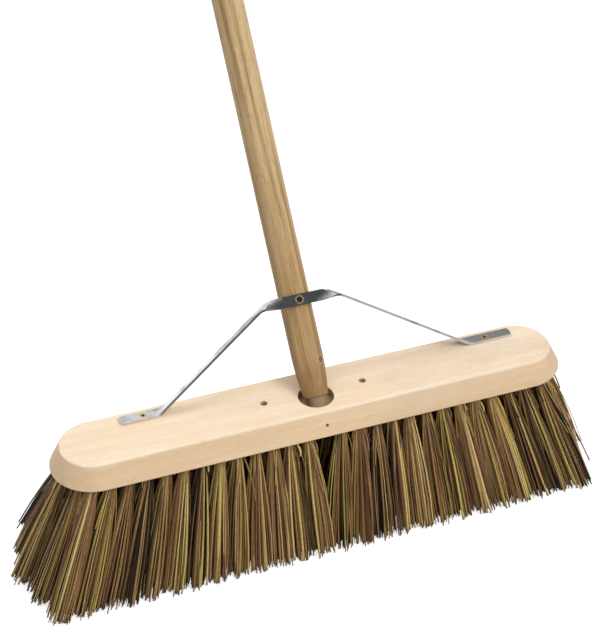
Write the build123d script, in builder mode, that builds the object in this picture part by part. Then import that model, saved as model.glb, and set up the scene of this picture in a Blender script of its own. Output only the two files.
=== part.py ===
"""Push broom: a tapered beech stock, five rows of splayed fibre tufts, an inclined wooden
handle and a flat steel stay that braces the handle against the stock.

Millimetres, +Z up. The origin is on the stock's top face, midway between the two bracket holes.
X runs along the stock and the handle leans towards +Y.
"""

from build123d import *
from math import cos, pi, radians, sin, sqrt, tan, atan, degrees
import os

os.makedirs("parts", exist_ok=True)

# Stock: a long block with round ends, larger at its foot than at its top face.
stock_length = 480
stock_width = 80
stock_thickness = 21
side_inset = 10.5
top_edge_radius = 1.6
foot_edge_radius = 1.0

# Handle: a round stick that leans back, narrows to a shoulder and ends in a tenon.
handle_lean = 38.8
handle_diameter = 28
handle_length = 1372
handle_taper_length = 36
shoulder_diameter = 22
tenon_diameter = 16
tenon_length = 16
end_dome_height = 6
handle_axis_y = -6.4
tenon_clearance = 0.05
bore_extra_depth = 0.8
mouth_clearance = 2.0
mouth_depth = 7.5

# Holes for a screwed bracket, which takes another handle in place of this one.
bracket_hole_spacing = 93
bracket_hole_diameter = 6.6
bracket_hole_depth = 7

# Nail from the front slope of the stock into the tenon.
nail_length = 24
nail_diameter = 2.2
nail_head_diameter = 3.2
nail_head_thickness = 1.0
nail_head_sink = 1.6
nail_drop = 11.5
nail_clearance = 0.02

# Stay: one flat strip, bent up from two feet and twisted to lie on the handle.
strip_width = 10
strip_thickness = 2.2
stay_shift = 10.4
foot_y = 18.5
foot_bend_half_span = 145
left_foot_length = 37.5
right_foot_length = 45.5
left_foot_hole_from_bend = 16.5
right_foot_hole_from_bend = 20
foot_corner_radius = 2.5
band_bend_half_span = 33
band_half_length = 15
band_height = 76.5
band_clearance = 0.05
bend_radius = 7
crease_reach = 9
twist_steps = 3

# Countersunk wood screws that hold the stay.
foot_screw_diameter = 3.2
foot_screw_head_diameter = 6.0
foot_screw_length = 10
handle_screw_diameter = 4.0
handle_screw_head_diameter = 8.0
handle_screw_length = 19
screw_point_length = 3.0
screw_hole_clearance = 0.25
thread_clearance = 0.02
head_recess = 0.1
cross_share = 0.52
cross_width = 0.8
cross_depth = 1.4

# Tufts: fibre bundles folded into blind holes, fanned out towards the edges of the broom.
row_pitch = 14
tuft_pitch = 16
tuft_end_margin = 10
tuft_hole_depth = 11
tuft_hole_diameter = 7.0
tuft_clearance = 0.03
tuft_tip_length = 17.6
tuft_tip_width = 26
fibre_length = 110
left_fan = 50
right_fan = 40
width_fan = 29
tuft_sides = 8
tuft_wall = 1.0

# Flat wire anchors: each holds the fold of one tuft near the bottom of its hole.
anchor_length = 7.8
anchor_width = 2.4
anchor_thickness = 0.4
anchor_drop = 1.5

# The handle's axis, the direction square to it that faces the front, and its shoulder.
lean = radians(handle_lean)
handle_axis = Vector(0, sin(lean), cos(lean))
handle_front = Vector(0, -cos(lean), sin(lean))
shoulder_centre = Vector(0, handle_axis_y, 0)
handle_plane = Plane(origin=shoulder_centre, x_dir=(1, 0, 0), z_dir=handle_front)
handle_radius = handle_diameter / 2
bore_radius = tenon_diameter / 2 + tenon_clearance
bore_depth = tenon_length + bore_extra_depth

# The band of the stay lies on the front of the handle at the wanted height.
band_offset = handle_radius + band_clearance + strip_thickness / 2
band_distance = (band_height - band_offset * sin(lean)) / cos(lean)
band_centre = shoulder_centre + handle_axis * band_distance + handle_front * band_offset

# Each screw is seated on the outer face of the strip, with the plane's normal outwards.
half_strip = strip_thickness / 2
band_seat = Plane(origin=band_centre + handle_front * half_strip, x_dir=(1, 0, 0), z_dir=handle_front)
left_foot_hole_x = stay_shift - foot_bend_half_span - left_foot_hole_from_bend
right_foot_hole_x = stay_shift + foot_bend_half_span + right_foot_hole_from_bend
foot_seats = [
    Plane(origin=(x, foot_y, strip_thickness)) for x in (left_foot_hole_x, right_foot_hole_x)
]

# The nail lies level, with its head below the sloped front face.
nail_face_y = -(stock_width / 2 - side_inset + nail_drop * side_inset / stock_thickness)
nail_seat = Plane(origin=(0, nail_face_y + nail_head_sink, -nail_drop), x_dir=(1, 0, 0), z_dir=(0, -1, 0))


# Tufts stand in five rows, staggered, and leave the handle's bore and nail clear.
def row_y(row):
    """Place of a row across the stock; row 0 is the centre row and row -2 the front one."""
    return row * row_pitch


def keeps_clear(x, y):
    """Whether a tuft hole at this place misses the handle's bore and the nail."""
    hole_radius = tuft_hole_diameter / 2
    level = stock_thickness - tuft_hole_depth
    bore_front = handle_axis_y - level * tan(lean) - bore_radius / cos(lean)
    bore_back = handle_axis_y - level * tan(lean) + bore_radius / cos(lean)
    gap_y = max(bore_front - y, y - bore_back, 0)
    gap_x = max(abs(x) - bore_radius, 0)
    misses_bore = sqrt(gap_x**2 + gap_y**2) > hole_radius + tuft_wall
    misses_nail = abs(x) > hole_radius + nail_head_diameter / 2 + tuft_wall or y > bore_back
    return misses_bore and misses_nail


def tuft_places(row):
    """Centres of one row's tuft holes on the underside of the stock."""
    y = row_y(row)
    end_radius = stock_width / 2
    reach = stock_length / 2 - end_radius + sqrt(end_radius**2 - y**2) - tuft_end_margin
    stagger = 0.5 if row % 2 else 0
    most = int(reach / tuft_pitch - stagger)
    steps = [step + stagger for step in range(most + 1)]
    xs = sorted({side * step * tuft_pitch for step in steps for side in (-1, 1)})
    return [(x, y) for x in xs if keeps_clear(x, y)]


def tuft_outline(centre, length, width):
    """Corners of a tuft's section, flat towards its neighbours."""
    corners = []
    for side in range(tuft_sides):
        angle = 2 * pi * (side + 0.5) / tuft_sides
        corners.append((centre[0] + length / 2 * cos(angle), centre[1] + width / 2 * sin(angle)))
    return corners


rows = {"front_outer": -2, "front_inner": -1, "centre": 0, "back_inner": 1, "back_outer": 2}
hole_bottom = tuft_hole_depth - stock_thickness
longest_reach = max(x for row in rows.values() for x, y in tuft_places(row))
widest_reach = max(row_y(row) for row in rows.values())


def tuft_tips(row):
    """Centres of one row's tips, evenly spread, so that they close over any missing tuft."""
    places = tuft_places(row)
    left = places[0][0] * (1 + left_fan / longest_reach)
    right = places[-1][0] * (1 + right_fan / longest_reach)
    y = row_y(row) * (1 + width_fan / widest_reach)
    spacing = (right - left) / (len(places) - 1)
    return [(left + spacing * number, y) for number in range(len(places))]


# Stock.
with BuildPart() as stock:
    with BuildSketch(Plane.XY.offset(-stock_thickness)):
        SlotOverall(stock_length, stock_width)
    extrude(amount=stock_thickness, taper=degrees(atan(side_inset / stock_thickness)))
    fillet(stock.faces().sort_by(Axis.Z)[-1].edges(), top_edge_radius)
    fillet(stock.faces().sort_by(Axis.Z)[0].edges(), foot_edge_radius)

    # Round mouth and inclined bore for the handle.
    with BuildSketch():
        with Locations((0, handle_axis_y)):
            Circle(shoulder_diameter / 2 / cos(lean) + mouth_clearance)
    extrude(amount=-mouth_depth, mode=Mode.SUBTRACT)
    with BuildSketch(Plane(origin=shoulder_centre, x_dir=(1, 0, 0), z_dir=handle_axis)):
        Circle(bore_radius)
    extrude(amount=-bore_depth, mode=Mode.SUBTRACT)

    # Two holes for a bracket, and one under each foot of the stay.
    with Locations((-bracket_hole_spacing / 2, 0, 0), (bracket_hole_spacing / 2, 0, 0)):
        Hole(bracket_hole_diameter / 2, depth=bracket_hole_depth)
    with Locations(*foot_seats):
        Hole(foot_screw_diameter / 2 + thread_clearance, depth=foot_screw_length)

    # Hole for the nail, wider where its head is sunk.
    with Locations(nail_seat.offset(nail_head_sink + nail_head_diameter)):
        Hole(nail_diameter / 2 + nail_clearance, depth=nail_length + nail_head_sink + nail_head_diameter)
        Hole(
            nail_head_diameter / 2 + nail_clearance,
            depth=nail_head_thickness + nail_head_sink + nail_head_diameter,
        )

    # Tuft holes from below.
    with BuildSketch(Plane.XY.offset(-stock_thickness)):
        for row in rows.values():
            for place in tuft_places(row):
                Polygon(*tuft_outline(place, tuft_hole_diameter, tuft_hole_diameter), align=None)
    extrude(amount=tuft_hole_depth, mode=Mode.SUBTRACT)
stock.part.label = "stock"
export_step(stock.part, "parts/stock.step")

# Handle: one turned profile about its axis.
handle_top = handle_length - tenon_length
with BuildPart() as handle:
    with BuildSketch(handle_plane):
        with BuildLine():
            Polyline(
                (shoulder_diameter / 2, 0),
                (tenon_diameter / 2, 0),
                (tenon_diameter / 2, -tenon_length),
                (0, -tenon_length),
                (0, handle_top),
            )
            Bezier(
                (0, handle_top),
                (handle_radius * 0.6, handle_top),
                (handle_radius, handle_top - end_dome_height * 0.4),
                (handle_radius, handle_top - end_dome_height),
            )
            Line((handle_radius, handle_top - end_dome_height), (handle_radius, handle_taper_length))
            Bezier(
                (handle_radius, handle_taper_length),
                (handle_radius, handle_taper_length / 2),
                (shoulder_diameter / 2, 0),
            )
        make_face()
    revolve(axis=Axis(shoulder_centre, handle_axis))
    with Locations(band_seat):
        Hole(handle_screw_diameter / 2 + thread_clearance, depth=handle_screw_length)
    with Locations(nail_seat):
        Hole(nail_diameter / 2 + nail_clearance, depth=nail_length)
handle.part.label = "handle"
export_step(handle.part, "parts/handle.step")


# Stay.
def square_section(centre, across):
    """Section square to a level run of the strip, and its width."""
    return Plane(origin=centre, x_dir=across, z_dir=level), strip_width


def bend_sections(corner, before, after, arm):
    """Three sections round a bend, each along the oblique crease that folds the arm up."""
    crease = (arm - level).cross(Vector(0, 0, 1)).normalized()
    enter = (before - crease * before.dot(crease)).normalized()
    leave = (after - crease * after.dot(crease)).normalized()
    half_turn = radians(enter.get_angle(leave)) / 2
    skew = before.dot(enter)
    ease = bend_radius * tan(half_turn) / skew
    inset = bend_radius / cos(half_turn) - bend_radius
    places = [
        (corner - before * ease, enter),
        (corner + (leave - enter).normalized() * inset, (enter + leave).normalized()),
        (corner + after * ease, leave),
    ]
    return [
        (Plane(origin=centre, x_dir=crease, z_dir=normal), strip_width / skew)
        for centre, normal in places
    ]


def twist_sections(side):
    """Sections between a bend and the band, where the strip turns to lie on the handle."""
    sections = []
    for step in range(1, twist_steps + 1):
        share = step / twist_steps
        turn = share * (pi / 2 - lean)
        reach = band_bend_half_span - bend_radius / 2
        distance = reach + (band_half_length - reach) * share
        across = Vector(0, cos(turn), sin(turn))
        sections.append(square_section(band_centre + level * side * distance, across))
    return sections


level = Vector(1, 0, 0)
flat = Vector(0, 1, 0)
foot_bends = [Vector(stay_shift + side * foot_bend_half_span, foot_y, half_strip) for side in (-1, 1)]
band_bends = [band_centre + level * side * band_bend_half_span for side in (-1, 1)]
rise = (band_bends[0] - foot_bends[0]).normalized()
fall = (foot_bends[1] - band_bends[1]).normalized()
stay_sections = [
    square_section(foot_bends[0] - level * left_foot_length, flat),
    square_section(foot_bends[0] - level * crease_reach, flat),
    *bend_sections(foot_bends[0], level, rise, rise),
    *bend_sections(band_bends[0], rise, level, rise),
    *twist_sections(-1),
    *reversed(twist_sections(1)),
    *bend_sections(band_bends[1], level, fall, fall),
    *bend_sections(foot_bends[1], fall, level, fall),
    square_section(foot_bends[1] + level * crease_reach, flat),
    square_section(foot_bends[1] + level * right_foot_length, flat),
]
with BuildPart() as stay:
    for plane, width in stay_sections:
        with BuildSketch(plane):
            Rectangle(width, strip_thickness)
    loft(ruled=True)
    fillet(stay.edges().filter_by(Axis.Z).group_by(Axis.X)[0], foot_corner_radius)
    fillet(stay.edges().filter_by(Axis.Z).group_by(Axis.X)[-1], foot_corner_radius)
    screw_holes = [
        ([band_seat], handle_screw_diameter, handle_screw_head_diameter),
        (foot_seats, foot_screw_diameter, foot_screw_head_diameter),
    ]
    for seats, diameter, head_diameter in screw_holes:
        with Locations(*seats):
            CounterSinkHole(
                diameter / 2 + screw_hole_clearance,
                head_diameter / 2,
                depth=2 * strip_thickness,
                counter_sink_angle=90,
            )
stay.part.label = "stay"
export_step(stay.part, "parts/stay.step")


# Screws.
def screw(seat, length, diameter, head_diameter):
    """Countersunk cross-head wood screw whose head lies just under the seat's face."""
    head_radius = head_diameter / 2 - head_recess
    shank_radius = diameter / 2
    cross_length = head_diameter * cross_share
    side_plane = Plane(origin=seat.origin, x_dir=seat.x_dir, z_dir=seat.x_dir.cross(seat.z_dir))
    with BuildPart() as body:
        with BuildSketch(side_plane):
            Polygon(
                (0, -head_recess),
                (head_radius, -head_recess),
                (shank_radius, -head_recess - head_radius + shank_radius),
                (shank_radius, -length + screw_point_length),
                (0, -length),
                align=None,
            )
        revolve(axis=Axis(seat.origin, seat.z_dir))
        with BuildSketch(seat):
            Rectangle(cross_length, cross_width)
            Rectangle(cross_width, cross_length)
        extrude(amount=-head_recess - cross_depth, mode=Mode.SUBTRACT)
    return body.part


foot_screw_sizes = (foot_screw_length, foot_screw_diameter, foot_screw_head_diameter)
screws_in_feet = [screw(seat, *foot_screw_sizes) for seat in foot_seats]
with BuildPart() as foot_screws:
    add(screws_in_feet)
foot_screws.part.label = "foot_screws"
export_step(foot_screws.part, "parts/foot_screws.step")

screw_in_band = screw(
    band_seat, handle_screw_length, handle_screw_diameter, handle_screw_head_diameter
)
with BuildPart() as handle_screw:
    add(screw_in_band)
handle_screw.part.label = "handle_screw"
export_step(handle_screw.part, "parts/handle_screw.step")

# Nail.
with BuildPart() as handle_nail:
    with BuildSketch(nail_seat):
        Circle(nail_head_diameter / 2)
    extrude(amount=-nail_head_thickness)
    with BuildSketch(nail_seat):
        Circle(nail_diameter / 2)
    extrude(amount=-nail_length)
    chamfer(handle_nail.edges().sort_by(Axis.Y)[-1], nail_diameter / 3)
handle_nail.part.label = "handle_nail"
export_step(handle_nail.part, "parts/handle_nail.step")

# Tufts and their anchors, one node for each row.
root_diameter = tuft_hole_diameter - 2 * tuft_clearance
for row_name, row in rows.items():
    bundles = []
    with BuildPart():
        for place, tip in zip(tuft_places(row), tuft_tips(row)):
            sections = [
                (hole_bottom, place, root_diameter, root_diameter),
                (-stock_thickness, place, root_diameter, root_diameter),
                (-stock_thickness - fibre_length, tip, tuft_tip_length, tuft_tip_width),
            ]
            for height, centre, length, width in sections:
                with BuildSketch(Plane.XY.offset(height)):
                    Polygon(*tuft_outline(centre, length, width), align=None)
            bundles.append(loft(ruled=True, mode=Mode.PRIVATE))
    with BuildPart() as tufts:
        add(bundles)
    tufts.part.label = f"tufts_{row_name}"
    export_step(tufts.part, f"parts/tufts_{row_name}.step")

    with BuildPart() as anchors:
        with Locations(*[(x, y, hole_bottom - anchor_drop) for x, y in tuft_places(row)]):
            Box(anchor_length, anchor_thickness, anchor_width)
    anchors.part.label = f"anchors_{row_name}"
    export_step(anchors.part, f"parts/anchors_{row_name}.step")
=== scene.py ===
# %% [markdown]
# # Dressing a push broom
#
# A push broom is four honest materials: pale beech for the stock, a tougher golden wood for the
# handle, a flat steel stay with plated screws, and thousands of stiff plant fibres. The solids
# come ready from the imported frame. This lesson gives each solid a finish, and grows real fibres
# where the frame holds only plain tufts.

import math

import bpy
import numpy as np
from mathutils import Matrix, Vector


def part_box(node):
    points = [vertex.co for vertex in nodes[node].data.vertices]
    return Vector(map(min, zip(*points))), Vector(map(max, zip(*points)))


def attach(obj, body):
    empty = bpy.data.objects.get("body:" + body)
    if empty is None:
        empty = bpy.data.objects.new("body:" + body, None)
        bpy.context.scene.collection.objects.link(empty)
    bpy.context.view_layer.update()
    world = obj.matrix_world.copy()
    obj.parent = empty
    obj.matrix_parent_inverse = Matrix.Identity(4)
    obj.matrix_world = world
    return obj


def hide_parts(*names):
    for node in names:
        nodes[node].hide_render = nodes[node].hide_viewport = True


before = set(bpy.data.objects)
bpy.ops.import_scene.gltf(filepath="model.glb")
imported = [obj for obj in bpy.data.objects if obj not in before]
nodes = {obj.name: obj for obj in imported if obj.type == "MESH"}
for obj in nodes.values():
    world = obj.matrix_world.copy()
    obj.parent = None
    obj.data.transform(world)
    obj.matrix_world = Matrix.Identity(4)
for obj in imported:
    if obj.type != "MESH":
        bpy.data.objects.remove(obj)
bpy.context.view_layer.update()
print("nodes in the frame:", len(nodes))

# %% [markdown]
# ## Measures that everything else uses
#
# Where a finish has to meet a solid, its place is read from that solid, so it still fits when the
# broom is made longer or leans more. One helper gives a node's corners. Another gives all its
# vertices as rows of numbers, which can be compared all at once, and the last finds the middle of
# some of them.

# %% Read a node
def corners(name):
    """Lowest and highest corner of a node as vectors."""
    low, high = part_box(name)
    return Vector(low), Vector(high)


def vertices(name):
    """Every vertex of a node, as an array of rows."""
    mesh = nodes[name].data
    flat = np.empty(len(mesh.vertices) * 3)
    mesh.vertices.foreach_get("co", flat)
    return flat.reshape(-1, 3)


def middle_of(points):
    """The middle of the box round some points."""
    return (points.min(axis=0) + points.max(axis=0)) / 2


print("the handle's solid has", len(vertices("handle")), "vertices")

# %% [markdown]
# The stock's top face is the plane z = 0, because the frame's origin lies on it. The lowest point
# of any node is a trimmed end of the tufts, and the floor goes just below it.

# %% Measure the stock
stock_low, stock_high = corners("stock")
floor_level = min(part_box(name)[0][2] for name in nodes)
print(f"the stock is {stock_high.x - stock_low.x:.3f} m long, the floor is at {floor_level:.4f} m")

# %% [markdown]
# The handle leans back, and its lean is read from its own solid: the mean of its upper end and
# the mean of its lower end give its direction. Seen along that direction the handle is round, and
# a point farther from its middle than the tenon's radius is on the stick. The lowest such point
# is the shoulder, where the stick ends and the tenon begins.

# %% Measure the handle
end_depth = 0.03
tenon_bound = 0.0095
handle_points = vertices("handle")
levels = handle_points[:, 2]
handle_end = Vector(handle_points[levels > levels.max() - end_depth].mean(axis=0))
handle_low = Vector(handle_points[levels < levels.min() + end_depth].mean(axis=0))
handle_lean = math.atan2(handle_end.y - handle_low.y, handle_end.z - handle_low.z)
handle_axis = np.array([0, math.sin(handle_lean), math.cos(handle_lean)])
handle_front = Vector((0, -math.cos(handle_lean), math.sin(handle_lean)))
handle_reach = handle_points @ handle_axis
beside_axis = handle_points - np.outer(handle_reach, handle_axis)
axis_place = middle_of(beside_axis)
off_axis = np.linalg.norm(beside_axis - axis_place, axis=1)
shoulder_reach = float(handle_reach[off_axis > tenon_bound].min())
print(f"the handle leans {math.degrees(handle_lean):.1f} degrees")
print(f"the shoulder lies {shoulder_reach:.4f} m along the handle's axis")

# %% [markdown]
# The handle enters the stock through a round mouth. Its centre and radius are read from the
# vertices of its wall, a few millimetres below the top face.

# %% Measure the mouth
mouth_half_length, mouth_half_width = 0.02, 0.026
mouth_wall_top, mouth_wall_foot = -0.005, -0.009
stock_points = vertices("stock")
on_wall = ((abs(stock_points[:, 0]) < mouth_half_length)
           & (abs(stock_points[:, 1]) < mouth_half_width)
           & (stock_points[:, 2] < mouth_wall_top) & (stock_points[:, 2] > mouth_wall_foot))
mouth_centre = middle_of(stock_points[on_wall])
mouth_radius = float(stock_points[on_wall][:, 0].max() - mouth_centre[0])
print(f"the mouth is {2 * mouth_radius:.4f} m wide")

# %% [markdown]
# ## Camera, floor and light
#
# The broom is seen from its front left, from above the stock. The camera is set by where it
# stands and by three angles, and a long lens keeps the lines nearly parallel.

# %% Camera
camera_place = Vector((-0.3857, -1.0349, 0.8910))
camera_azimuth = math.radians(-19.82)
camera_elevation = math.radians(36.22)
camera_roll = math.radians(-0.34)
camera_lens = 90.84
sensor_width = 36


def add_object(name, data):
    """A new object that holds the data, linked to the scene."""
    thing = bpy.data.objects.new(name, data)
    bpy.context.collection.objects.link(thing)
    return thing


def look_along(azimuth, elevation, roll):
    """Rotation of a camera whose azimuth 0 looks along +Y and whose elevation looks down."""
    back = Vector((math.sin(azimuth) * math.cos(elevation),
                   -math.cos(azimuth) * math.cos(elevation), math.sin(elevation)))
    level_right = Vector((math.cos(azimuth), math.sin(azimuth), 0))
    level_up = back.cross(level_right)
    right = level_right * math.cos(roll) + level_up * math.sin(roll)
    up = back.cross(right)
    return Matrix((right, up, back)).transposed()


camera_data = bpy.data.cameras.new("camera")
camera_data.lens = camera_lens
camera_data.sensor_width = sensor_width
camera = add_object("camera", camera_data)
camera.matrix_world = Matrix.Translation(camera_place) @ look_along(
    camera_azimuth, camera_elevation, camera_roll).to_4x4()
bpy.context.scene.camera = camera
bpy.context.scene.view_settings.view_transform = "Standard"
print("camera stands", round((camera_place - stock_high).length, 3), "m from the stock")

# %% [markdown]
# A node tree is easier to read when each line makes one node. This helper adds a node, sets its
# options, and fills its inputs: a socket given as a value links, any other value is written in.
# Colours are written as on a paint card, from 0 to 255, and turned into the linear light that
# Blender works in.

# %% Nodes, colours and materials
def put(tree, kind, settings=None, **inputs):
    """Add a node; settings are its own options and inputs are sockets by name or number."""
    node = tree.nodes.new(kind)
    for key, value in (settings or {}).items():
        setattr(node, key, value)
    for key, value in inputs.items():
        name = key.replace("_", " ")
        socket = node.inputs[int(key[1:])] if key[1:].isdigit() else node.inputs[name]
        if isinstance(value, bpy.types.NodeSocket):
            tree.links.new(value, socket)
        else:
            socket.default_value = value
    return node


def paint(red, green, blue):
    """Linear colour of a swatch given as 0 to 255."""
    swatch = []
    for level in (red, green, blue):
        share = level / 255
        swatch.append(share / 12.92 if share <= 0.04045 else ((share + 0.055) / 1.055) ** 2.4)
    return (*swatch, 1.0)


def new_material(name):
    """An empty node material and its tree."""
    material = bpy.data.materials.new(name)
    material.use_nodes = True
    material.node_tree.nodes.clear()
    return material, material.node_tree


print("mid grey as linear light:", round(paint(128, 128, 128)[0], 3))

# %% [markdown]
# Most of a finish is arithmetic on numbers and vectors, so both get a short name here, and
# colours get theirs further down. The soft step is used most: it turns any measure, such as a
# height or a distance, into a mask with a gentle edge.

# %% Arithmetic in a tree
def calculate(tree, operation, first, second=0.0, third=0.0):
    """One step of arithmetic on numbers."""
    return put(tree, "ShaderNodeMath", {"operation": operation},
               _0=first, _1=second, _2=third).outputs[0]


def calculate_vector(tree, operation, first, second=None):
    """One step of arithmetic on vectors; a distance, length or dot product gives a number."""
    given = {"_0": first}
    if second is not None:
        given["_3" if operation == "SCALE" else "_1"] = second
    node = put(tree, "ShaderNodeVectorMath", {"operation": operation}, **given)
    gives_number = operation in ("DISTANCE", "LENGTH", "DOT_PRODUCT")
    return node.outputs["Value" if gives_number else "Vector"]


def split_vector(tree, vector):
    """The X, Y and Z of a vector."""
    return put(tree, "ShaderNodeSeparateXYZ", _0=vector).outputs


def join_vector(tree, **parts):
    """A vector from its X, Y and Z; a part that isn't given is 0."""
    return put(tree, "ShaderNodeCombineXYZ", **parts).outputs[0]


def soft_step(tree, value, low, high, start=0.0, end=1.0):
    """A mask that goes smoothly from start at low to end at high."""
    return put(tree, "ShaderNodeMapRange", {"interpolation_type": "SMOOTHSTEP"},
               _0=value, _1=low, _2=high, _3=start, _4=end).outputs[0]


def blend_numbers(tree, factor, low, high):
    """A number between two others."""
    return put(tree, "ShaderNodeMix", {"data_type": "FLOAT"},
               _0=factor, _2=low, _3=high).outputs[0]


print("arithmetic on numbers, vectors and masks is ready")

# %% [markdown]
# The floor is plain and pale. It keeps a soft shadow under the broom, and fades to pure white
# where the camera would see its far edge. Bright floors make flat steel look like paper, so in
# front of the broom a reflected ray finds the floor dark instead, as it would in a real room.

# %% Floor
white = (1, 1, 1, 1)
floor_reach = 12.0
floor_gap = 0.0005
floor_glow = 0.68
floor_grey = (0.55, 0.55, 0.55, 1)
floor_dim = 0.1
front_edge = (0.3, -0.1)
fade_distances = (0.6, 1.6)


def make_floor_finish():
    """A pale matte floor, dark in front for reflections and white to the camera far away."""
    material, tree = new_material("floor")
    rays = put(tree, "ShaderNodeLightPath").outputs
    place = put(tree, "ShaderNodeTexCoord").outputs["Object"]
    seen = calculate(tree, "MAXIMUM", rays["Is Camera Ray"], rays["Is Glossy Ray"])
    own = put(tree, "ShaderNodeEmission", Color=white,
              Strength=calculate(tree, "MULTIPLY", seen, floor_glow)).outputs[0]
    matte = put(tree, "ShaderNodeBsdfDiffuse", Color=floor_grey).outputs[0]
    lit = put(tree, "ShaderNodeAddShader", _0=own, _1=matte).outputs[0]
    dark = put(tree, "ShaderNodeEmission", Color=white, Strength=floor_dim).outputs[0]
    in_front = soft_step(tree, split_vector(tree, place)["Y"], *front_edge)
    reflected = calculate(tree, "MULTIPLY", in_front, rays["Is Glossy Ray"])
    near = put(tree, "ShaderNodeMixShader", _0=reflected, _1=lit, _2=dark).outputs[0]
    far_away = soft_step(tree, calculate_vector(tree, "LENGTH", place), *fade_distances)
    faded = calculate(tree, "MULTIPLY", far_away, rays["Is Camera Ray"])
    blank = put(tree, "ShaderNodeEmission", Color=white, Strength=1.0).outputs[0]
    surface = put(tree, "ShaderNodeMixShader", _0=faded, _1=near, _2=blank).outputs[0]
    put(tree, "ShaderNodeOutputMaterial", Surface=surface)
    return material


floor_mesh = bpy.data.meshes.new("floor")
floor_corners = ((-1, -1), (1, -1), (1, 1), (-1, 1))
floor_mesh.from_pydata([(x * floor_reach, y * floor_reach, floor_level - floor_gap)
                        for x, y in floor_corners], [], [(0, 1, 2, 3)])
floor_mesh.materials.append(make_floor_finish())
floor = add_object("floor", floor_mesh)
print("floor of", 2 * floor_reach, "m")

# %% [markdown]
# The sky is even and white. Metal has nothing to show but what it mirrors, so reflected rays find
# two white cards in a dark room: a wide one at the broom's left, and a low one at its right. This
# is how a small steel part is lit on a bench.

# %% Sky
sky_strength = 0.55
side_card = {"way": (-0.94, 0.34, 0.0), "edge": (-0.09, 0.09), "levels": (0.13, 1.0)}
low_card = {"height": (0.34, 0.16), "levels": (0.0, 0.9), "side": (0.16, 0.34)}


def make_world():
    """An even sky, white behind the object; metal mirrors two white cards and a dark room."""
    world = bpy.data.worlds.new("studio")
    bpy.context.scene.world = world
    world.use_nodes = True
    tree = world.node_tree
    tree.nodes.clear()
    rays = put(tree, "ShaderNodeLightPath").outputs
    way = put(tree, "ShaderNodeTexCoord").outputs["Generated"]
    along_card = calculate_vector(tree, "DOT_PRODUCT", way, side_card["way"])
    left = soft_step(tree, along_card, *side_card["edge"], *side_card["levels"])
    towards = split_vector(tree, way)
    low = soft_step(tree, towards["Z"], *low_card["height"], *low_card["levels"])
    right = calculate(tree, "MULTIPLY", low, soft_step(tree, towards["X"], *low_card["side"]))
    cards = calculate(tree, "MAXIMUM", left, right)
    mirrored = blend_numbers(tree, rays["Is Glossy Ray"], sky_strength, cards)
    level = blend_numbers(tree, rays["Is Camera Ray"], mirrored, 1.0)
    sky = put(tree, "ShaderNodeBackground", Color=white, Strength=level).outputs[0]
    put(tree, "ShaderNodeOutputWorld", Surface=sky)


make_world()
print("sky of strength", sky_strength)

# %% [markdown]
# Two soft square lamps shape the wood: a key from the front right and a weaker one from above and
# behind. They aim at the origin and aren't mirrored, because their hard edges would show.

# %% Lamps
lamps = {"key_lamp": {"place": (1.1, -1.3, 1.9), "size": 1.2, "watts": 34},
         "top_lamp": {"place": (-0.3, 0.7, 2.2), "size": 1.6, "watts": 16}}

for name, given in lamps.items():
    lamp_data = bpy.data.lights.new(name, "AREA")
    lamp_data.size = given["size"]
    lamp_data.energy = given["watts"]
    lamp = add_object(name, lamp_data)
    lamp.location = given["place"]
    lamp.rotation_euler = (-Vector(given["place"])).to_track_quat("-Z", "Y").to_euler()
    lamp.visible_glossy = False
    print(name, given["watts"], "W")

# %% [markdown]
# ## Shared surface effects
#
# Wood and steel need the same things: a pattern that runs one way, a slow mottle and a trace of
# use. One node group gives the first two and another gives the last. Both have named inputs, so
# one effect can serve several finishes with different values. A group puts out only masks, and
# the shader itself stays in each material.
#
# Colours are then laid on as a painter does it. A stain covers what is below it, and a glaze lets
# it show through. Both take a mask, which says where, and a share, which says how strongly.

# %% Group and colour helpers
FLOAT, VECTOR = "NodeSocketFloat", "NodeSocketVector"


def start_group(name, inputs, outputs):
    """A shader group; inputs map a name to a type and a value, outputs name its masks."""
    group = bpy.data.node_groups.new(name, "ShaderNodeTree")
    for socket_name, (kind, value) in inputs.items():
        socket = group.interface.new_socket(socket_name, in_out="INPUT", socket_type=kind)
        if value is not None:
            socket.default_value = value
    for socket_name in outputs:
        group.interface.new_socket(socket_name, in_out="OUTPUT", socket_type=FLOAT)
    given = group.nodes.new("NodeGroupInput").outputs
    return group, given, group.nodes.new("NodeGroupOutput").inputs


def noise(tree, place, scale, detail, **more):
    """A cloudy pattern, as its Fac and Color."""
    return put(tree, "ShaderNodeTexNoise", Vector=place, Scale=scale, Detail=detail,
               **more).outputs


def mix(tree, factor, low, high, blend="MIX"):
    """Mix two colours."""
    return put(tree, "ShaderNodeMix", {"data_type": "RGBA", "blend_type": blend},
               _0=factor, _6=low, _7=high).outputs[2]


def tint(tree, colour, tone):
    """A colour seen through a tone."""
    return mix(tree, 1.0, colour, tone, "MULTIPLY")


def stain(tree, colour, mask, share, tone):
    """A tone laid over a colour where a mask allows it, up to a share of full strength."""
    return mix(tree, calculate(tree, "MULTIPLY", mask, share), colour, tone)


def glaze(tree, colour, mask, share, tone):
    """As a stain, but the colour shows through the tone."""
    return stain(tree, colour, mask, share, tint(tree, colour, tone))


def ramp(tree, factor, stops):
    """A colour ramp fed by a factor; stops are pairs of a position and a colour."""
    node = put(tree, "ShaderNodeValToRGB", Fac=factor)
    elements = node.color_ramp.elements
    while len(elements) < len(stops):
        elements.new(0.5)
    for element, (position, colour) in zip(elements, stops):
        element.position = position
        element.color = colour
    return node.outputs["Color"]


print("a group's sockets are", FLOAT, "or", VECTOR)

# %% [markdown]
# Grain is noise pulled out along one axis. Broad bands are the year rings, fine streaks are the
# fibres of the wood, and short dark pores are its cut vessels. A slow drift bends the bands, since
# no tree grows straight. The same group, made very narrow, gives the roller lines of steel strip.

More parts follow.
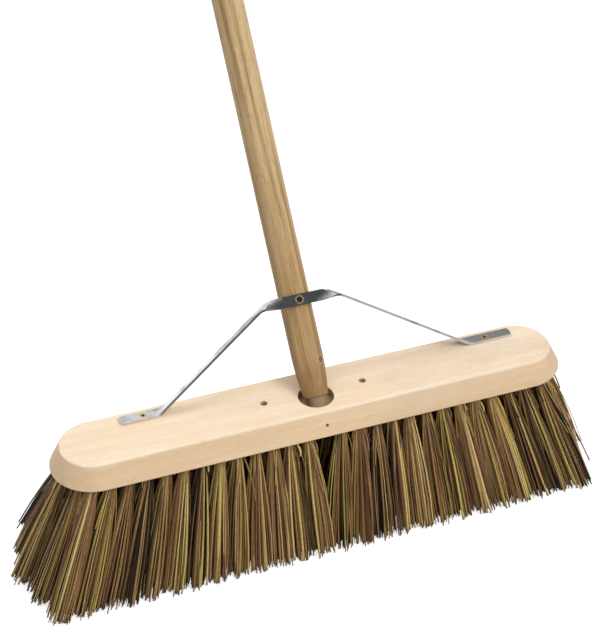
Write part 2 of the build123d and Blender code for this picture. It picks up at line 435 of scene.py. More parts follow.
# %% Grain group
def make_grain_group():
    """Long grain along the vector's X: broad bands, fine streaks, pores and a slow mottle."""
    group, given, result = start_group(
        "timber_grain",
        {"Vector": (VECTOR, None), "Band Width": (FLOAT, 0.006), "Streak Width": (FLOAT, 0.0007),
         "Length Ratio": (FLOAT, 30.0), "Wander": (FLOAT, 0.4)},
        ("Bands", "Streaks", "Pores", "Mottle"))

    def stretched(width, ratio_scale=1.0):
        """The vector, scaled so that a pattern is far longer than it is wide."""
        ratio = calculate(group, "MULTIPLY", given["Length Ratio"], ratio_scale)
        along = calculate(group, "DIVIDE", 1.0, calculate(group, "MULTIPLY", width, ratio))
        across = calculate(group, "DIVIDE", 1.0, width)
        scale = join_vector(group, X=along, Y=across, Z=across)
        return calculate_vector(group, "MULTIPLY", given["Vector"], scale)

    drift = noise(group, stretched(given["Band Width"], 0.4), 0.35, 3.0)
    wander = calculate_vector(group, "SCALE", drift["Color"], given["Wander"])
    bent = calculate_vector(group, "ADD", stretched(given["Band Width"]), wander)
    bands = noise(group, bent, 1.0, 4.0, Roughness=0.55, Distortion=0.4)
    streaks = noise(group, stretched(given["Streak Width"]), 1.0, 5.0, Roughness=0.62)
    vessels = noise(group, stretched(given["Streak Width"], 0.35), 1.6, 2.0)
    mottle = noise(group, given["Vector"], 22.0, 3.0)
    group.links.new(bands["Fac"], result["Bands"])
    group.links.new(streaks["Fac"], result["Streaks"])
    group.links.new(soft_step(group, vessels["Fac"], 0.6, 0.74), result["Pores"])
    group.links.new(mottle["Fac"], result["Mottle"])
    return group


grain_group = make_grain_group()
print("grain group:", len(grain_group.nodes), "nodes")

# %% [markdown]
# A broom that has been handled carries cloudy smudges and a few small knocks. Knocks come from
# the cells of a Voronoi pattern, and a second noise keeps most of them away, because real ones
# gather in a few places. A very fine fleck is there for plated and drawn metal.

# %% Handling group
def make_handling_group():
    """Grime and small knocks from use, as masks that any finish can take."""
    group, given, result = start_group(
        "handling_marks",
        {"Vector": (VECTOR, None), "Smudge Size": (FLOAT, 0.05), "Knock Size": (FLOAT, 0.004)},
        ("Smudges", "Knocks", "Fleck"))
    smudge_scale = calculate(group, "DIVIDE", 1.0, given["Smudge Size"])
    smudge = noise(group, given["Vector"], smudge_scale, 4.0)
    knock = put(group, "ShaderNodeTexVoronoi", Vector=given["Vector"], Randomness=1.0,
                Scale=calculate(group, "DIVIDE", 0.25, given["Knock Size"])).outputs
    where = noise(group, given["Vector"], 9.0, 1.0)
    fleck = noise(group, given["Vector"], 1500.0, 1.0)
    dent = soft_step(group, knock["Distance"], 0.12, 0.02)
    rare = soft_step(group, where["Fac"], 0.58, 0.66)
    group.links.new(soft_step(group, smudge["Fac"], 0.45, 0.75), result["Smudges"])
    group.links.new(calculate(group, "MULTIPLY", dent, rare), result["Knocks"])
    group.links.new(fleck["Fac"], result["Fleck"])
    return group


handling_group = make_handling_group()
print("handling group:", len(handling_group.nodes), "nodes")

# %% [markdown]
# A pattern has to stay on its piece, so every finish starts from the piece's own coordinates,
# turned and moved where the grain asks for it. The last helper hands a finished material to a
# node of the frame, whose mesh is otherwise left as it is.

# %% Use a group, finish a material, dress a node
finish_of = {}


def use_group(tree, group, **inputs):
    """Place a group in a material with its own values, and give its outputs."""
    node = put(tree, "ShaderNodeGroup", {"node_tree": group}, **inputs)
    return node.outputs


def own_place(tree, turn=(0, 0, 0), shift=(0, 0, 0)):
    """The piece's own coordinates, moved and turned so that a pattern follows the piece."""
    source = put(tree, "ShaderNodeTexCoord").outputs["Object"]
    return put(tree, "ShaderNodeMapping", Vector=source, Location=shift, Rotation=turn).outputs[0]


def finish_material(tree, colour, roughness, height, bump, depth, **fixed):
    """The Principled shader and the output; height feeds a bump of a given depth."""
    bumps = put(tree, "ShaderNodeBump", Strength=bump, Distance=depth, Height=height).outputs[0]
    shader = put(tree, "ShaderNodeBsdfPrincipled", Base_Color=colour, Roughness=roughness,
                 Normal=bumps, **fixed).outputs[0]
    put(tree, "ShaderNodeOutputMaterial", Surface=shader)


def dress(name, material):
    """Give a node from the frame its finish."""
    slots = nodes[name].data.materials
    if len(slots) == 0:
        slots.append(material)
    for number in range(len(slots)):
        slots[number] = material
    finish_of[name] = material.name


print("nodes that still need a finish:", len(nodes) - len(finish_of))

# %% [markdown]
# ## The stock: planed beech
#
# The stock is drilled for the handle and for a screwed bracket, and the insides of those holes
# are painted darker and greyer, as painted shade. They belong to the stock's one mesh, so a mask
# has to find them. They lie below the top face, near the middle of the board, and clear of its
# ends and its underside. The mouth is also found by the distance from its centre, seen from above.

# %% Insides of the holes
hole_heights = (-0.0004, -0.0018)
hole_half_width = 0.02
hole_half_length = stock_high.x - 0.04
hole_foot = stock_low.z + 0.0005
mouth_rim = (mouth_radius + 0.0009, mouth_radius + 0.0003)


def inside_of_holes(tree, here):
    """A mask of the mouth and of the holes along the middle of the stock."""
    in_plan = join_vector(tree, X=here["X"], Y=here["Y"])
    from_mouth = calculate_vector(tree, "DISTANCE", in_plan, (*mouth_centre[:2], 0))
    in_mouth = soft_step(tree, from_mouth, *mouth_rim)
    beside = calculate(tree, "ABSOLUTE", here["Y"])
    along = calculate(tree, "ABSOLUTE", here["X"])
    near_middle = calculate(tree, "LESS_THAN", beside, hole_half_width)
    clear_of_ends = calculate(tree, "LESS_THAN", along, hole_half_length)
    above_foot = calculate(tree, "GREATER_THAN", here["Z"], hole_foot)
    in_board = calculate(tree, "MULTIPLY", near_middle, clear_of_ends)
    in_hole = calculate(tree, "MULTIPLY", above_foot, in_board)
    either = calculate(tree, "MAXIMUM", in_mouth, in_hole)
    return calculate(tree, "MULTIPLY", either, soft_step(tree, here["Z"], *hole_heights))


print(f"holes are looked for up to {hole_half_length:.3f} m each way from the middle")

# %% [markdown]
# Beech is pale and cream, with straight quiet grain and short brown flecks. The top face is
# planed and sanded. The sloped sides are painted a little darker and warmer than the top, as
# painted shade. The same material serves both, and the slope is found from the surface's own
# height, which stays true from every side. Towards its +X end the board turns to heartwood, a
# little darker and more mottled.
#
# Each layer below has its share and its tone, and most of their masks come from the shared
# groups. The insides of the holes come last, over everything else.

# %% Beech
beech_bands = (paint(244, 227, 202), paint(238, 214, 182))
beech = {"streaks": (0.45, paint(226, 196, 160)), "flecks": (0.35, paint(196, 158, 120)),
         "slope_shaded": (0.75, paint(241, 226, 205)), "smudges": (0.24, paint(216, 188, 152)),
         "knocks": (0.5, paint(188, 150, 110))}
heart_tone, hole_shade_tone = paint(238, 236, 238), paint(196, 168, 134)
heart_along = (-0.02, 0.16)
slope_heights = (-0.0006, -0.0022)


def make_beech():
    """Pale beech: quiet bands, short flecks, and painted shade on its sloped sides and in its
    holes.
    """
    material, tree = new_material("planed_beech")
    place = own_place(tree, shift=(0.3, 0.11, 0.07))
    here = split_vector(tree, put(tree, "ShaderNodeTexCoord").outputs["Object"])
    grain = use_group(tree, grain_group, Vector=place, Band_Width=0.011, Streak_Width=0.0009,
                      Length_Ratio=16.0, Wander=0.9)
    marks = use_group(tree, handling_group, Vector=place, Smudge_Size=0.07, Knock_Size=0.003)
    banded = mix(tree, soft_step(tree, grain["Bands"], 0.3, 0.7), *beech_bands)
    lines = soft_step(tree, grain["Streaks"], 0.45, 0.75)
    streaked = stain(tree, banded, lines, *beech["streaks"])
    flecked = stain(tree, streaked, grain["Pores"], *beech["flecks"])
    on_slope = soft_step(tree, here["Z"], *slope_heights)
    # The sloped sides are glazed darker and warmer: painted shade.
    slope_shaded = glaze(tree, flecked, on_slope, *beech["slope_shaded"])
    patches = soft_step(tree, grain["Mottle"], 0.42, 0.58)
    heart = calculate(tree, "MULTIPLY", soft_step(tree, here["X"], *heart_along),
                      calculate(tree, "MULTIPLY_ADD", patches, 0.45, 0.5))
    toned = mix(tree, heart, slope_shaded, tint(tree, slope_shaded, heart_tone))
    smudged = stain(tree, toned, marks["Smudges"], *beech["smudges"])
    knocked = stain(tree, smudged, marks["Knocks"], *beech["knocks"])
    # The insides of the mouth and the holes are painted darker and greyer: painted shade.
    colour = mix(tree, inside_of_holes(tree, here), knocked, hole_shade_tone)
    roughness = calculate(tree, "MULTIPLY_ADD", grain["Streaks"], 0.22, 0.46)
    sunk = calculate(tree, "ADD", marks["Knocks"],
                     calculate(tree, "MULTIPLY", grain["Pores"], 0.5))
    raised = calculate(tree, "MULTIPLY", grain["Streaks"], 0.6)
    height = calculate(tree, "SUBTRACT", raised, sunk)
    finish_material(tree, colour, roughness, height, bump=0.35, depth=0.0004,
                    Specular_IOR_Level=0.35)
    return material


dress("stock", make_beech())
print("stock wears", finish_of["stock"])

# %% [markdown]
# ## The handle: a golden hardwood
#
# One small knot sits low on the front of the stick: a dark round in a paler ring. It could be
# painted on an image, but the distance from one point near the stick's face gives the same round
# and needs none. The point is worked out along the handle's axis, so it moves with the lean. The
# grain is added to the distance, so the outline isn't a perfect circle.

# %% Knot
knot_layers = {"ring": (0.3, paint(206, 176, 132)), "knot": (0.8, paint(104, 78, 50))}
knot_forward, knot_aside, knot_rise = 0.0108, 0.0081, 0.031
ring_distances, knot_distances, knot_wobble = (0.0074, 0.0046), (0.0048, 0.0034), 0.003
knot_centre = (handle_front * knot_forward + Vector((knot_aside, 0, 0)) + Vector(axis_place)
               + Vector(handle_axis) * (shoulder_reach + knot_rise))


def add_knot(tree, colour, grain):
    """A small dark knot in a paler ring; the grain makes its outline uneven."""
    place = put(tree, "ShaderNodeTexCoord").outputs["Object"]
    from_knot = calculate_vector(tree, "DISTANCE", place, knot_centre)
    uneven = calculate(tree, "MULTIPLY_ADD", grain["Bands"], knot_wobble, from_knot)
    in_ring = soft_step(tree, uneven, *ring_distances)
    in_knot = soft_step(tree, uneven, *knot_distances)
    ringed = stain(tree, colour, in_ring, *knot_layers["ring"])
    return stain(tree, ringed, in_knot, *knot_layers["knot"])


print("the knot lies", knot_rise, "m above the shoulder")

# %% [markdown]
# The handle comes from a coarser tropical wood: golden brown, with long dark vessels that run
# the whole length. The grain must follow the handle and not the floor, so the pattern's space is
# turned by the handle's own lean. The lower part is a little darker, and the last few centimetres
# are rough where the lathe tapered them. The tenon below the shoulder, down in the mouth, is
# painted grey-brown as painted shade.

# %% Handle wood
golden = {"darker_low": (0.85, paint(232, 222, 208)), "streaks": (0.6, paint(130, 98, 60)),
          "pores": (0.7, paint(104, 76, 46)), "smudges": (0.2, paint(158, 122, 82)),
          "knocks": (0.6, paint(96, 70, 44)), "rough": (0.55, paint(134, 96, 56))}
tenon_shade_tone = paint(156, 133, 106)
golden_bands = [(0.3, paint(152, 121, 80)), (0.45, paint(187, 157, 113)),
                (0.6, paint(208, 180, 137)), (0.75, paint(176, 145, 101))]
darker_low_reach = (shoulder_reach + 0.26, shoulder_reach + 0.06)
rough_reach = (shoulder_reach + 0.042, shoulder_reach + 0.012)
tenon_reach = (shoulder_reach + 0.0002, shoulder_reach - 0.0006)


def make_handle_wood():
    """Golden wood with long dark vessels along the stick."""
    material, tree = new_material("handle_wood")
    upright = split_vector(tree, own_place(tree, turn=(handle_lean, 0, 0)))
    reach = upright["Z"]
    along = join_vector(tree, X=reach, Y=upright["X"], Z=upright["Y"])
    grain = use_group(tree, grain_group, Vector=along, Band_Width=0.007, Streak_Width=0.0011,
                      Length_Ratio=38.0, Wander=1.3)
    marks = use_group(tree, handling_group, Vector=along, Smudge_Size=0.12, Knock_Size=0.003)
    fresh = ramp(tree, grain["Bands"], golden_bands)
    # The lower part of the stick is glazed a little darker.
    darker_low = glaze(tree, fresh, soft_step(tree, reach, *darker_low_reach), *golden["darker_low"])
    lines = soft_step(tree, grain["Streaks"], 0.5, 0.72)
    streaked = stain(tree, darker_low, lines, *golden["streaks"])
    pored = stain(tree, streaked, grain["Pores"], *golden["pores"])
    smudged = stain(tree, pored, marks["Smudges"], *golden["smudges"])
    knocked = stain(tree, smudged, marks["Knocks"], *golden["knocks"])
    patchy = calculate(tree, "MULTIPLY", soft_step(tree, reach, *rough_reach),
                       soft_step(tree, grain["Mottle"], 0.4, 0.62))
    stick = add_knot(tree, stain(tree, knocked, patchy, *golden["rough"]), grain)
    # The tenon below the shoulder is painted grey-brown: painted shade inside the mouth.
    colour = mix(tree, soft_step(tree, reach, *tenon_reach), stick, tenon_shade_tone)
    roughness = calculate(tree, "MULTIPLY_ADD", grain["Streaks"], 0.3, 0.38)
    height = calculate(tree, "SUBTRACT", calculate(tree, "MULTIPLY", grain["Streaks"], 0.5),
                       calculate(tree, "ADD", grain["Pores"], marks["Knocks"]))
    finish_material(tree, colour, roughness, height, bump=0.45, depth=0.0004,
                    Specular_IOR_Level=0.4)
    return material


dress("handle", make_handle_wood())
print("handle wears", finish_of["handle"])

# %% [markdown]
# ## Steel: the stay, the screws and the hidden wire
#
# One screw holds the stay to the handle, and two finishes need its place: the strip is painted
# darker round it, as a painted dark reflection, and its cross is painted dark, as painted shade.
# The place is read from the top of its head, the part of the screw that stands out farthest the
# way the handle faces.

# %% Measure the handle screw
head_depth = 0.0002
screw_points = vertices("handle_screw")
screw_heights = screw_points @ np.array(handle_front)
head_centre = Vector(middle_of(screw_points[screw_heights > screw_heights.max() - head_depth]))
print("the screw's head is at", [round(value, 4) for value in head_centre])

# %% [markdown]
# The stay is rolled strip, so its faint lines run along it and its faces are grey and satin.
# Metal has almost no colour of its own beside its reflection, so its tone is set by the base
# colour with Metallic at 1. Round the screw, in its band, the strip is painted darker, as a
# painted dark reflection.

# %% Strip steel
strip_lines = (paint(238, 238, 238), paint(214, 215, 217))
strip = {"smudges": (0.75, paint(128, 127, 124)), "painted_dark_reflection": (0.6, paint(120, 123, 125))}
strip_knock = paint(80, 76, 72)
dark_reflection_distances = (0.034, 0.016)


def make_strip_steel():
    """Rolled grey strip: fine lines, darker smudges, a painted dark reflection round its screw."""
    material, tree = new_material("rolled_strip")
    place = own_place(tree)
    grain = use_group(tree, grain_group, Vector=place, Band_Width=0.004, Streak_Width=0.00025,
                      Length_Ratio=60.0, Wander=0.2)
    marks = use_group(tree, handling_group, Vector=place, Smudge_Size=0.02, Knock_Size=0.002)
    lined = mix(tree, soft_step(tree, grain["Streaks"], 0.3, 0.7), *strip_lines)
    smudged = stain(tree, lined, marks["Smudges"], *strip["smudges"])
    from_screw = calculate_vector(tree, "DISTANCE", place, head_centre)
    # Round the screw the strip is painted darker: a painted dark reflection.
    banded = stain(tree, smudged, soft_step(tree, from_screw, *dark_reflection_distances), *strip["painted_dark_reflection"])
    colour = mix(tree, marks["Knocks"], banded, strip_knock)
    satin = calculate(tree, "MULTIPLY_ADD", grain["Streaks"], 0.14, 0.24)
    roughness = calculate(tree, "MULTIPLY_ADD", marks["Smudges"], 0.14, satin)
    finish_material(tree, colour, roughness, grain["Streaks"], bump=0.12, depth=0.0002,
                    Metallic=1.0)
    return material


dress("stay", make_strip_steel())
print("stay wears", finish_of["stay"])

# %% [markdown]
# The screws are zinc plated and passivated, which leaves a yellow film that changes a little from
# place to place. The cross of each head is painted dark, as painted shade in the recess, so a dark
# spot is laid round the screw's own axis: the distance from a line is the length of a cross
# product.

# %% Plated screws
plating = {"smudges": (0.5, paint(128, 108, 66)), "recess_shade": (0.9, paint(70, 48, 24))}
film_tones = [(0.3, paint(206, 190, 146)), (0.5, paint(224, 210, 170)),
              (0.7, paint(196, 186, 142))]
golden_tone, plain_tone = paint(252, 222, 150), paint(255, 255, 255)
foot_recess_share, handle_recess_radius = 0.5, 0.0026
recess_shade_edge = (1.12, 0.88)


def make_plating(name, centres, axis, recess_radius, metallic, tone):
    """Yellow passivated zinc with a faint film, and painted shade in the cross of each head."""
    material, tree = new_material(name)
    place = own_place(tree)
    marks = use_group(tree, handling_group, Vector=place, Smudge_Size=0.0022, Knock_Size=0.0006)
    film = ramp(tree, noise(tree, place, 380.0, 2.0)["Fac"], film_tones)
    colour = stain(tree, tint(tree, film, tone), marks["Smudges"], *plating["smudges"])
    for centre in centres:
        away = calculate_vector(tree, "SUBTRACT", place, centre)
        beside = calculate_vector(tree, "CROSS_PRODUCT", away, axis)
        # The cross of each head is painted dark: painted shade in the recess.
        in_recess_shade = soft_step(tree, calculate_vector(tree, "LENGTH", beside),
                          *(recess_radius * share for share in recess_shade_edge))
        colour = stain(tree, colour, in_recess_shade, *plating["recess_shade"])
    roughness = calculate(tree, "MULTIPLY_ADD", marks["Smudges"], 0.2, 0.26)
    finish_material(tree, colour, roughness, marks["Fleck"], bump=0.1, depth=0.0001,
                    Metallic=metallic)
    return material


foot_low, foot_high = corners("foot_screws")
foot_head = (foot_high.y - foot_low.y) / 2
foot_centres = [Vector((x, foot_low.y + foot_head, foot_high.z))
                for x in (foot_low.x + foot_head, foot_high.x - foot_head)]
dress("foot_screws", make_plating("foot_plating", foot_centres, (0, 0, 1),
                                  foot_head * foot_recess_share, 0.6, golden_tone))
dress("handle_screw", make_plating("handle_plating", [head_centre], handle_front,
                                   handle_recess_radius, 0.8, plain_tone))
print("foot screws' heads are", round(2 * foot_head, 4), "m wide")

# %% [markdown]
# The staples that hold the tufts and the nail that holds the tenon are plain drawn wire. They are
# nearly hidden, but a part has no unfinished pieces.

# %% Wire
wire_tones = (paint(150, 150, 152), paint(104, 100, 96))


def make_bright_wire():
    """Drawn wire, dark with oil in its drawing lines."""
    material, tree = new_material("drawn_wire")
    place = own_place(tree)
    marks = use_group(tree, handling_group, Vector=place, Smudge_Size=0.003, Knock_Size=0.0005)
    colour = mix(tree, marks["Smudges"], *wire_tones)
    roughness = calculate(tree, "MULTIPLY_ADD", marks["Smudges"], 0.2, 0.32)
    finish_material(tree, colour, roughness, marks["Fleck"], bump=0.1, depth=0.0001,
                    Metallic=1.0)
    return material


wire = make_bright_wire()
for name in nodes:
    if name.startswith("anchors_") or name == "handle_nail":
        dress(name, wire)
print("nodes with a finish:", len(finish_of))

# %% [markdown]
# ## The fibres
#
# Each tuft on a real broom is a bundle of stiff stalks, folded over a wire and pulled into its
# hole. Most are bassine, round and brown to nearly black. Some are split cane, flatter, wider
# and olive. They could be drawn one by one as curves, but there are thousands, and they follow a
# rule: start inside the hole, lean out with the tuft, wander a little and end on a trimmed plane.
# That is work for Geometry Nodes. The tree takes one point for each tuft, which carries the
# place of that tuft's tip, and turns it into a bundle.

# %% Read the tufts from the frame
level_tolerance = 1e-4
tuft_gap = 0.004


def level_points(points, level):
    """The separate corner points of a row at one height, from left to right."""
    near = points[abs(points[:, 2] - level) < level_tolerance]
    separate = np.unique(near.round(6), axis=0)
    return separate[np.argsort(separate[:, 0])]


def tufts_of(name):
    """Mouth centre, tip centre and tip reach of each tuft in a row, from its solid."""
    points = vertices(name)
    roots = level_points(points, points[:, 2].max())
    tips = level_points(points, points[:, 2].min())
    count = 1 + int((np.diff(roots[:, 0]) > tuft_gap).sum())
    found = []
    for root_points, tip_points in zip(np.split(roots, count), np.split(tips, count)):
        middle = middle_of(root_points)
        mouth = Vector((middle[0], middle[1], stock_low.z))
        reach = Vector(tip_points.max(axis=0) - tip_points.min(axis=0)) / 2
        found.append((mouth, Vector(middle_of(tip_points)), reach))
    return found


rows = sorted(name[len("tufts_"):] for name in nodes if name.startswith("tufts_"))
tufts = {row: tufts_of("tufts_" + row) for row in rows}
print({row: len(found) for row, found in tufts.items()})

# %% [markdown]
# The tree has named inputs for every size: how many stalks a tuft has, how wide its root is, how
# thick a stalk is, how far it bows and how many go astray. Every random draw has a name and a
# number of its own, so a new draw can be added later without moving the others.

# %% Start the bristle tree
bristle_inputs = [
    ("Points", "NodeSocketGeometry", None), ("Stalks", "NodeSocketInt", 60),
    ("Root Radius", FLOAT, 0.003), ("Stalk Thickness", FLOAT, 0.0011),
    ("Cane Width", FLOAT, 0.0021), ("Cane Share", FLOAT, 0.25), ("Trim", FLOAT, 0.005),
    ("Wander", FLOAT, 0.0025), ("Bow", FLOAT, 0.003), ("Bulge", FLOAT, 0.004),
    ("Tip Spread", FLOAT, 1.1), ("Astray Share", FLOAT, 0.06), ("Stub Share", FLOAT, 0.05),
    ("Dark Share", FLOAT, 0.1), ("Seed", "NodeSocketInt", 1),
    ("Material", "NodeSocketMaterial", None)]
draws = {"clump": 10, "angle": 11, "share": 12, "astray": 13, "wander": 14, "trim": 15,
         "cane": 16, "round width": 17, "cane width": 18, "bow": 19, "shade": 20, "spin": 21,
         "stub": 22, "broken": 23}
bristle_tree = bpy.data.node_groups.new("bristle_row", "GeometryNodeTree")
for name, kind, value in bristle_inputs:
    socket = bristle_tree.interface.new_socket(name, in_out="INPUT", socket_type=kind)
    if value is not None:
        socket.default_value = value
bristle_tree.interface.new_socket("Geometry", in_out="OUTPUT", socket_type="NodeSocketGeometry")
bristle = bristle_tree.nodes.new("NodeGroupInput").outputs
print("bristle tree:", len(bristle_inputs), "inputs")

# %% [markdown]
# These short helpers write into that tree. A named attribute carries a value with each point, from
# the tuft to its stalks and on to the material.

# %% Helpers of the bristle tree
def put_here(kind, settings=None, **inputs):
    """Add a node to the bristle tree."""
    return put(bristle_tree, kind, settings, **inputs).outputs


def number(operation, *values):
    """One step of arithmetic on numbers in the bristle tree."""
    return calculate(bristle_tree, operation, *values)


def vector(operation, *values):
    """One step of arithmetic on vectors in the bristle tree."""
    return calculate_vector(bristle_tree, operation, *values)


def chance(low, high, draw):
    """A random number for each point."""
    seed = number("ADD", bristle["Seed"], float(draws[draw]))
    return put_here("FunctionNodeRandomValue", {"data_type": "FLOAT"},
                    _2=low, _3=high, _8=seed)[1]


def chance_vector(size, draw):
    """A random vector for each point, up to a size each way."""
    seed = number("ADD", bristle["Seed"], float(draws[draw]))
    unit = put_here("FunctionNodeRandomValue", {"data_type": "FLOAT_VECTOR"},
                    _0=(-1, -1, -1), _1=(1, 1, 1), _8=seed)[0]
    return vector("SCALE", unit, size)


def carried(name, kind="FLOAT"):
    """A value that each point carries."""
    return put_here("GeometryNodeInputNamedAttribute", {"data_type": kind}, _0=name)[0]


def keep(geometry, name, value, kind="FLOAT"):
    """Store a value on each point under a name."""
    return put_here("GeometryNodeStoreNamedAttribute", {"data_type": kind, "domain": "POINT"},
                    Geometry=geometry, Name=name, Value=value)[0]


print("random draws:", len(draws))

# %% [markdown]
# First each tuft's point becomes as many points as it has stalks. A stalk keeps its place in the
# bundle from root to tip, so the bundle fans out evenly. The square root spreads the stalks over
# the whole disc, which would otherwise be crowded in its middle. Each tip then wanders a little,
# and a few go astray.

# %% Roots and tips
astray_extra, stub_extra = 2.2, 6.0
trim_power = 1.6
sideways = (1, 1, 0)
tuft_points = put_here("GeometryNodeMeshToPoints", Mesh=bristle["Points"])[0]
tuft_points = keep(tuft_points, "clump", chance(0.0, 1.0, "clump"))
stalk_points = put_here("GeometryNodeDuplicateElements", {"domain": "POINT"},
                        _0=tuft_points, Amount=bristle["Stalks"])[0]

angle = chance(0.0, math.tau, "angle")
from_middle = number("SQRT", chance(0.0, 1.0, "share"))
disc = join_vector(bristle_tree, X=number("MULTIPLY", number("COSINE", angle), from_middle),
                   Y=number("MULTIPLY", number("SINE", angle), from_middle))
astray = number("LESS_THAN", chance(0.0, 1.0, "astray"), bristle["Astray Share"])
stub = number("LESS_THAN", chance(0.0, 1.0, "stub"), bristle["Stub Share"])
wilder = number("MULTIPLY_ADD", stub, stub_extra,
                number("MULTIPLY_ADD", astray, astray_extra, 1.0))
wander = number("MULTIPLY", bristle["Wander"], wilder)
flat_wander = vector("MULTIPLY", chance_vector(wander, "wander"), sideways)
uneven = number("POWER", chance(0.0, 1.0, "trim"), trim_power)
trim = join_vector(bristle_tree, Z=number("MULTIPLY", uneven, bristle["Trim"]))
fan = vector("SCALE", vector("MULTIPLY", disc, carried("reach", "FLOAT_VECTOR")),
             bristle["Tip Spread"])
tip = vector("ADD", carried("tip", "FLOAT_VECTOR"), fan)
tip = vector("ADD", vector("ADD", tip, flat_wander), trim)
root = vector("SCALE", disc, bristle["Root Radius"])
placed = put_here("GeometryNodeSetPosition", Geometry=stalk_points, Offset=root)[0]
print("roots and tips:", len(bristle_tree.nodes), "nodes")

# %% [markdown]
# Then each stalk gets its length, its width, its bow and its shade. A few broke off short of the
# trim. Cane is wider and flatter than bassine. A whole bundle leans lighter or darker than its
# neighbour, because it was taken from one sheaf, and some bundles are nearly black.

# %% Length, width and shade
broken_lengths = (0.06, 0.5)
round_widths, cane_widths = (0.7, 1.25), (0.6, 1.2)
cane_flatness = 0.4
clump_weight, own_weight = 0.34, 0.66
dark_shift = -0.32
run = vector("SUBTRACT", tip, put_here("GeometryNodeInputPosition")[0])
kept_share = blend_numbers(bristle_tree, stub, 1.0, chance(*broken_lengths, "broken"))
length = number("MULTIPLY", vector("LENGTH", run), kept_share)

cane = number("LESS_THAN", chance(0.0, 1.0, "cane"), bristle["Cane Share"])
round_width = number("MULTIPLY", bristle["Stalk Thickness"], chance(*round_widths, "round width"))
cane_width = number("MULTIPLY", bristle["Cane Width"], chance(*cane_widths, "cane width"))
width = blend_numbers(bristle_tree, cane, round_width, cane_width)
thickness = blend_numbers(bristle_tree, cane, round_width,
                          number("MULTIPLY", cane_width, cane_flatness))
bow = vector("ADD", vector("MULTIPLY", chance_vector(bristle["Bow"], "bow"), sideways),
             vector("SCALE", disc, bristle["Bulge"]))
own_shade = number("MULTIPLY_ADD", carried("clump"), clump_weight,
                   number("MULTIPLY", chance(0.0, 1.0, "shade"), own_weight))
dark_bundle = number("LESS_THAN", carried("clump"), bristle["Dark Share"])
shade = number("MULTIPLY_ADD", dark_bundle, dark_shift, own_shade)
placed = keep(placed, "bow", bow, "FLOAT_VECTOR")
placed = keep(placed, "shade", shade)
placed = keep(placed, "cane", cane)
print("lengths, widths and shades:", len(bristle_tree.nodes), "nodes")

# %% [markdown]
# One stalk is drawn once, one unit long and about one wide. It is only a four-sided prism with
# five rings, because it is repeated thousands of times. It is set on each point, turned to run
# towards its tip, and scaled to its size. The copies are then made real, and each is bent
# sideways, most in its lower half and not at all at its root.

# %% Set the stalks out and bend them
stalk_rings, stalk_sides, stalk_radius = 5, 4, 0.6
bend_turn = math.pi * 0.72
line = put_here("GeometryNodeCurvePrimitiveLine", Start=(0, 0, 0), End=(0, 0, 1))[0]
steps = put_here("GeometryNodeResampleCurve", Curve=line, Count=stalk_rings)[0]
outline = put_here("GeometryNodeCurvePrimitiveCircle", Resolution=stalk_sides,
                   Radius=stalk_radius)[0]
stalk = put_here("GeometryNodeCurveToMesh", Curve=steps, Profile_Curve=outline,
                 Fill_Caps=True)[0]
rise = split_vector(bristle_tree, put_here("GeometryNodeInputPosition")[0])["Z"]
stalk = keep(stalk, "along", rise)

turn = put_here("FunctionNodeAlignRotationToVector", {"axis": "Z"}, Vector=run)[0]
spin = put_here("FunctionNodeAxisAngleToRotation", Axis=(0, 0, 1),
                Angle=chance(0.0, math.tau, "spin"))[0]
turned = put_here("FunctionNodeRotateRotation", {"rotation_space": "LOCAL"},
                  _0=turn, _1=spin)[0]
size = join_vector(bristle_tree, X=width, Y=thickness, Z=length)
bundles = put_here("GeometryNodeInstanceOnPoints", Points=placed, Instance=stalk,
                   Rotation=turned, Scale=size)[0]
real = put_here("GeometryNodeRealizeInstances", Geometry=bundles)[0]
swell = number("SINE", number("MULTIPLY", carried("along"), bend_turn))
bent = put_here("GeometryNodeSetPosition", Geometry=real,
                Offset=vector("SCALE", carried("bow", "FLOAT_VECTOR"), swell))[0]
finished = put_here("GeometryNodeSetMaterial", Geometry=bent, Material=bristle["Material"])[0]
bristle_tree.links.new(finished, bristle_tree.nodes.new("NodeGroupOutput").inputs[0])
print("bristle tree:", len(bristle_tree.nodes), "nodes")

# %% [markdown]
# Fibre colours come from what the tree stored: `shade` picks a colour for the whole stalk,
# `cane` says which plant it is, and `along` lets the cut ends be darker, because dirt gathers
# there. A noise pulled out downwards, as the stalks run, gives them their fine streaks.

# %% Fibre material
bassine_tones = [(0.2, paint(36, 32, 30)), (0.27, paint(84, 58, 42)), (0.42, paint(144, 98, 72)),
                 (0.58, paint(160, 124, 74)), (0.72, paint(172, 130, 92)),
                 (0.9, paint(212, 176, 118))]
cane_tones = [(0.2, paint(34, 31, 30)), (0.25, paint(142, 121, 62)), (0.45, paint(196, 172, 94)),
              (0.7, paint(224, 200, 118)), (0.9, paint(236, 212, 146))]
fibre_layers = {"streaks": (0.45, paint(150, 138, 120)), "cut": (0.55, paint(84, 76, 72))}
streak_scale = (1400, 1400, 60)
cut_share = (0.95, 0.995)


def attribute_value(tree, name):
    """A number that the geometry carries under a name."""
    return put(tree, "ShaderNodeAttribute", {"attribute_name": name}).outputs["Fac"]


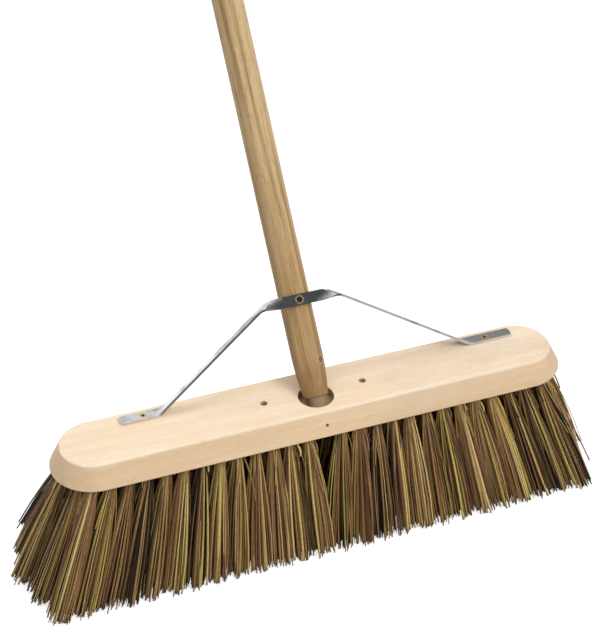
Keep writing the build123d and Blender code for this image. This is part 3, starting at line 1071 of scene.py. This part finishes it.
def make_fibre():
    """Bassine and cane stalks, each with its own shade, streaked along and soiled at the cut."""
    material, tree = new_material("mixed_fibre")
    picked = attribute_value(tree, "shade")
    plant = mix(tree, attribute_value(tree, "cane"),
                ramp(tree, picked, bassine_tones), ramp(tree, picked, cane_tones))
    stretched = calculate_vector(tree, "MULTIPLY", own_place(tree), streak_scale)
    streak = noise(tree, stretched, 1.0, 3.0)["Fac"]
    lines = soft_step(tree, streak, 0.4, 0.7)
    streaked = glaze(tree, plant, lines, *fibre_layers["streaks"])
    cut = soft_step(tree, attribute_value(tree, "along"), *cut_share)
    colour = stain(tree, streaked, cut, *fibre_layers["cut"])
    roughness = calculate(tree, "MULTIPLY_ADD", streak, 0.3, 0.34)
    finish_material(tree, colour, roughness, streak, bump=0.3, depth=0.0002,
                    Specular_IOR_Level=0.4)
    return material


fibre = make_fibre()
print("fibre material:", fibre.name)

# %% [markdown]
# Each row is grown from its own points and its own seed. A modifier's inputs are set by the
# socket's identifier. The evaluated result is then copied to a plain mesh, because the finished
# piece must carry no live modifier.

# %% Grow the rows
bristle_sizes = {"Stalks": 180, "Root Radius": 0.0034, "Stalk Thickness": 0.00104,
                 "Cane Width": 0.0017, "Cane Share": 0.3, "Trim": 0.0018, "Wander": 0.003,
                 "Bow": 0.003, "Bulge": 0.003, "Tip Spread": 0.96, "Astray Share": 0.01,
                 "Stub Share": 0.07, "Dark Share": 0.13}
first_seed, seed_step = 7, 40


def place_guide(row):
    """An object with one vertex for each tuft of a row, which carries its tip and its reach."""
    guide = bpy.data.meshes.new("guide_" + row)
    guide.from_pydata([mouth for mouth, tip, reach in tufts[row]], [], [])
    for name, column in (("tip", 1), ("reach", 2)):
        layer = guide.attributes.new(name, "FLOAT_VECTOR", "POINT")
        for place, tuft in zip(layer.data, tufts[row]):
            place.vector = tuft[column]
    return add_object("grower_" + row, guide)


def grow_row(row, seed):
    """The bristles of one row as a plain mesh that replaces the row's solid."""
    grower = place_guide(row)
    modifier = grower.modifiers.new("bristles", "NODES")
    modifier.node_group = bristle_tree
    values = {**bristle_sizes, "Seed": seed, "Material": fibre}
    for item in bristle_tree.interface.items_tree:
        if item.in_out == "INPUT" and item.name in values:
            modifier[item.identifier] = values[item.name]
    depsgraph = bpy.context.evaluated_depsgraph_get()
    mesh = bpy.data.meshes.new_from_object(
        grower.evaluated_get(depsgraph), preserve_all_data_layers=True, depsgraph=depsgraph)
    # The copy starts with the guide's empty slot, so its slots are written afresh.
    mesh.materials.clear()
    mesh.materials.append(fibre)
    piece = add_object("bristles_" + row, mesh)
    bpy.data.objects.remove(grower)
    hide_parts("tufts_" + row)
    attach(piece, "broom")
    return piece


for order, row in enumerate(rows):
    piece = grow_row(row, seed=first_seed + seed_step * order)
    print(piece.name, len(piece.data.polygons), "faces")
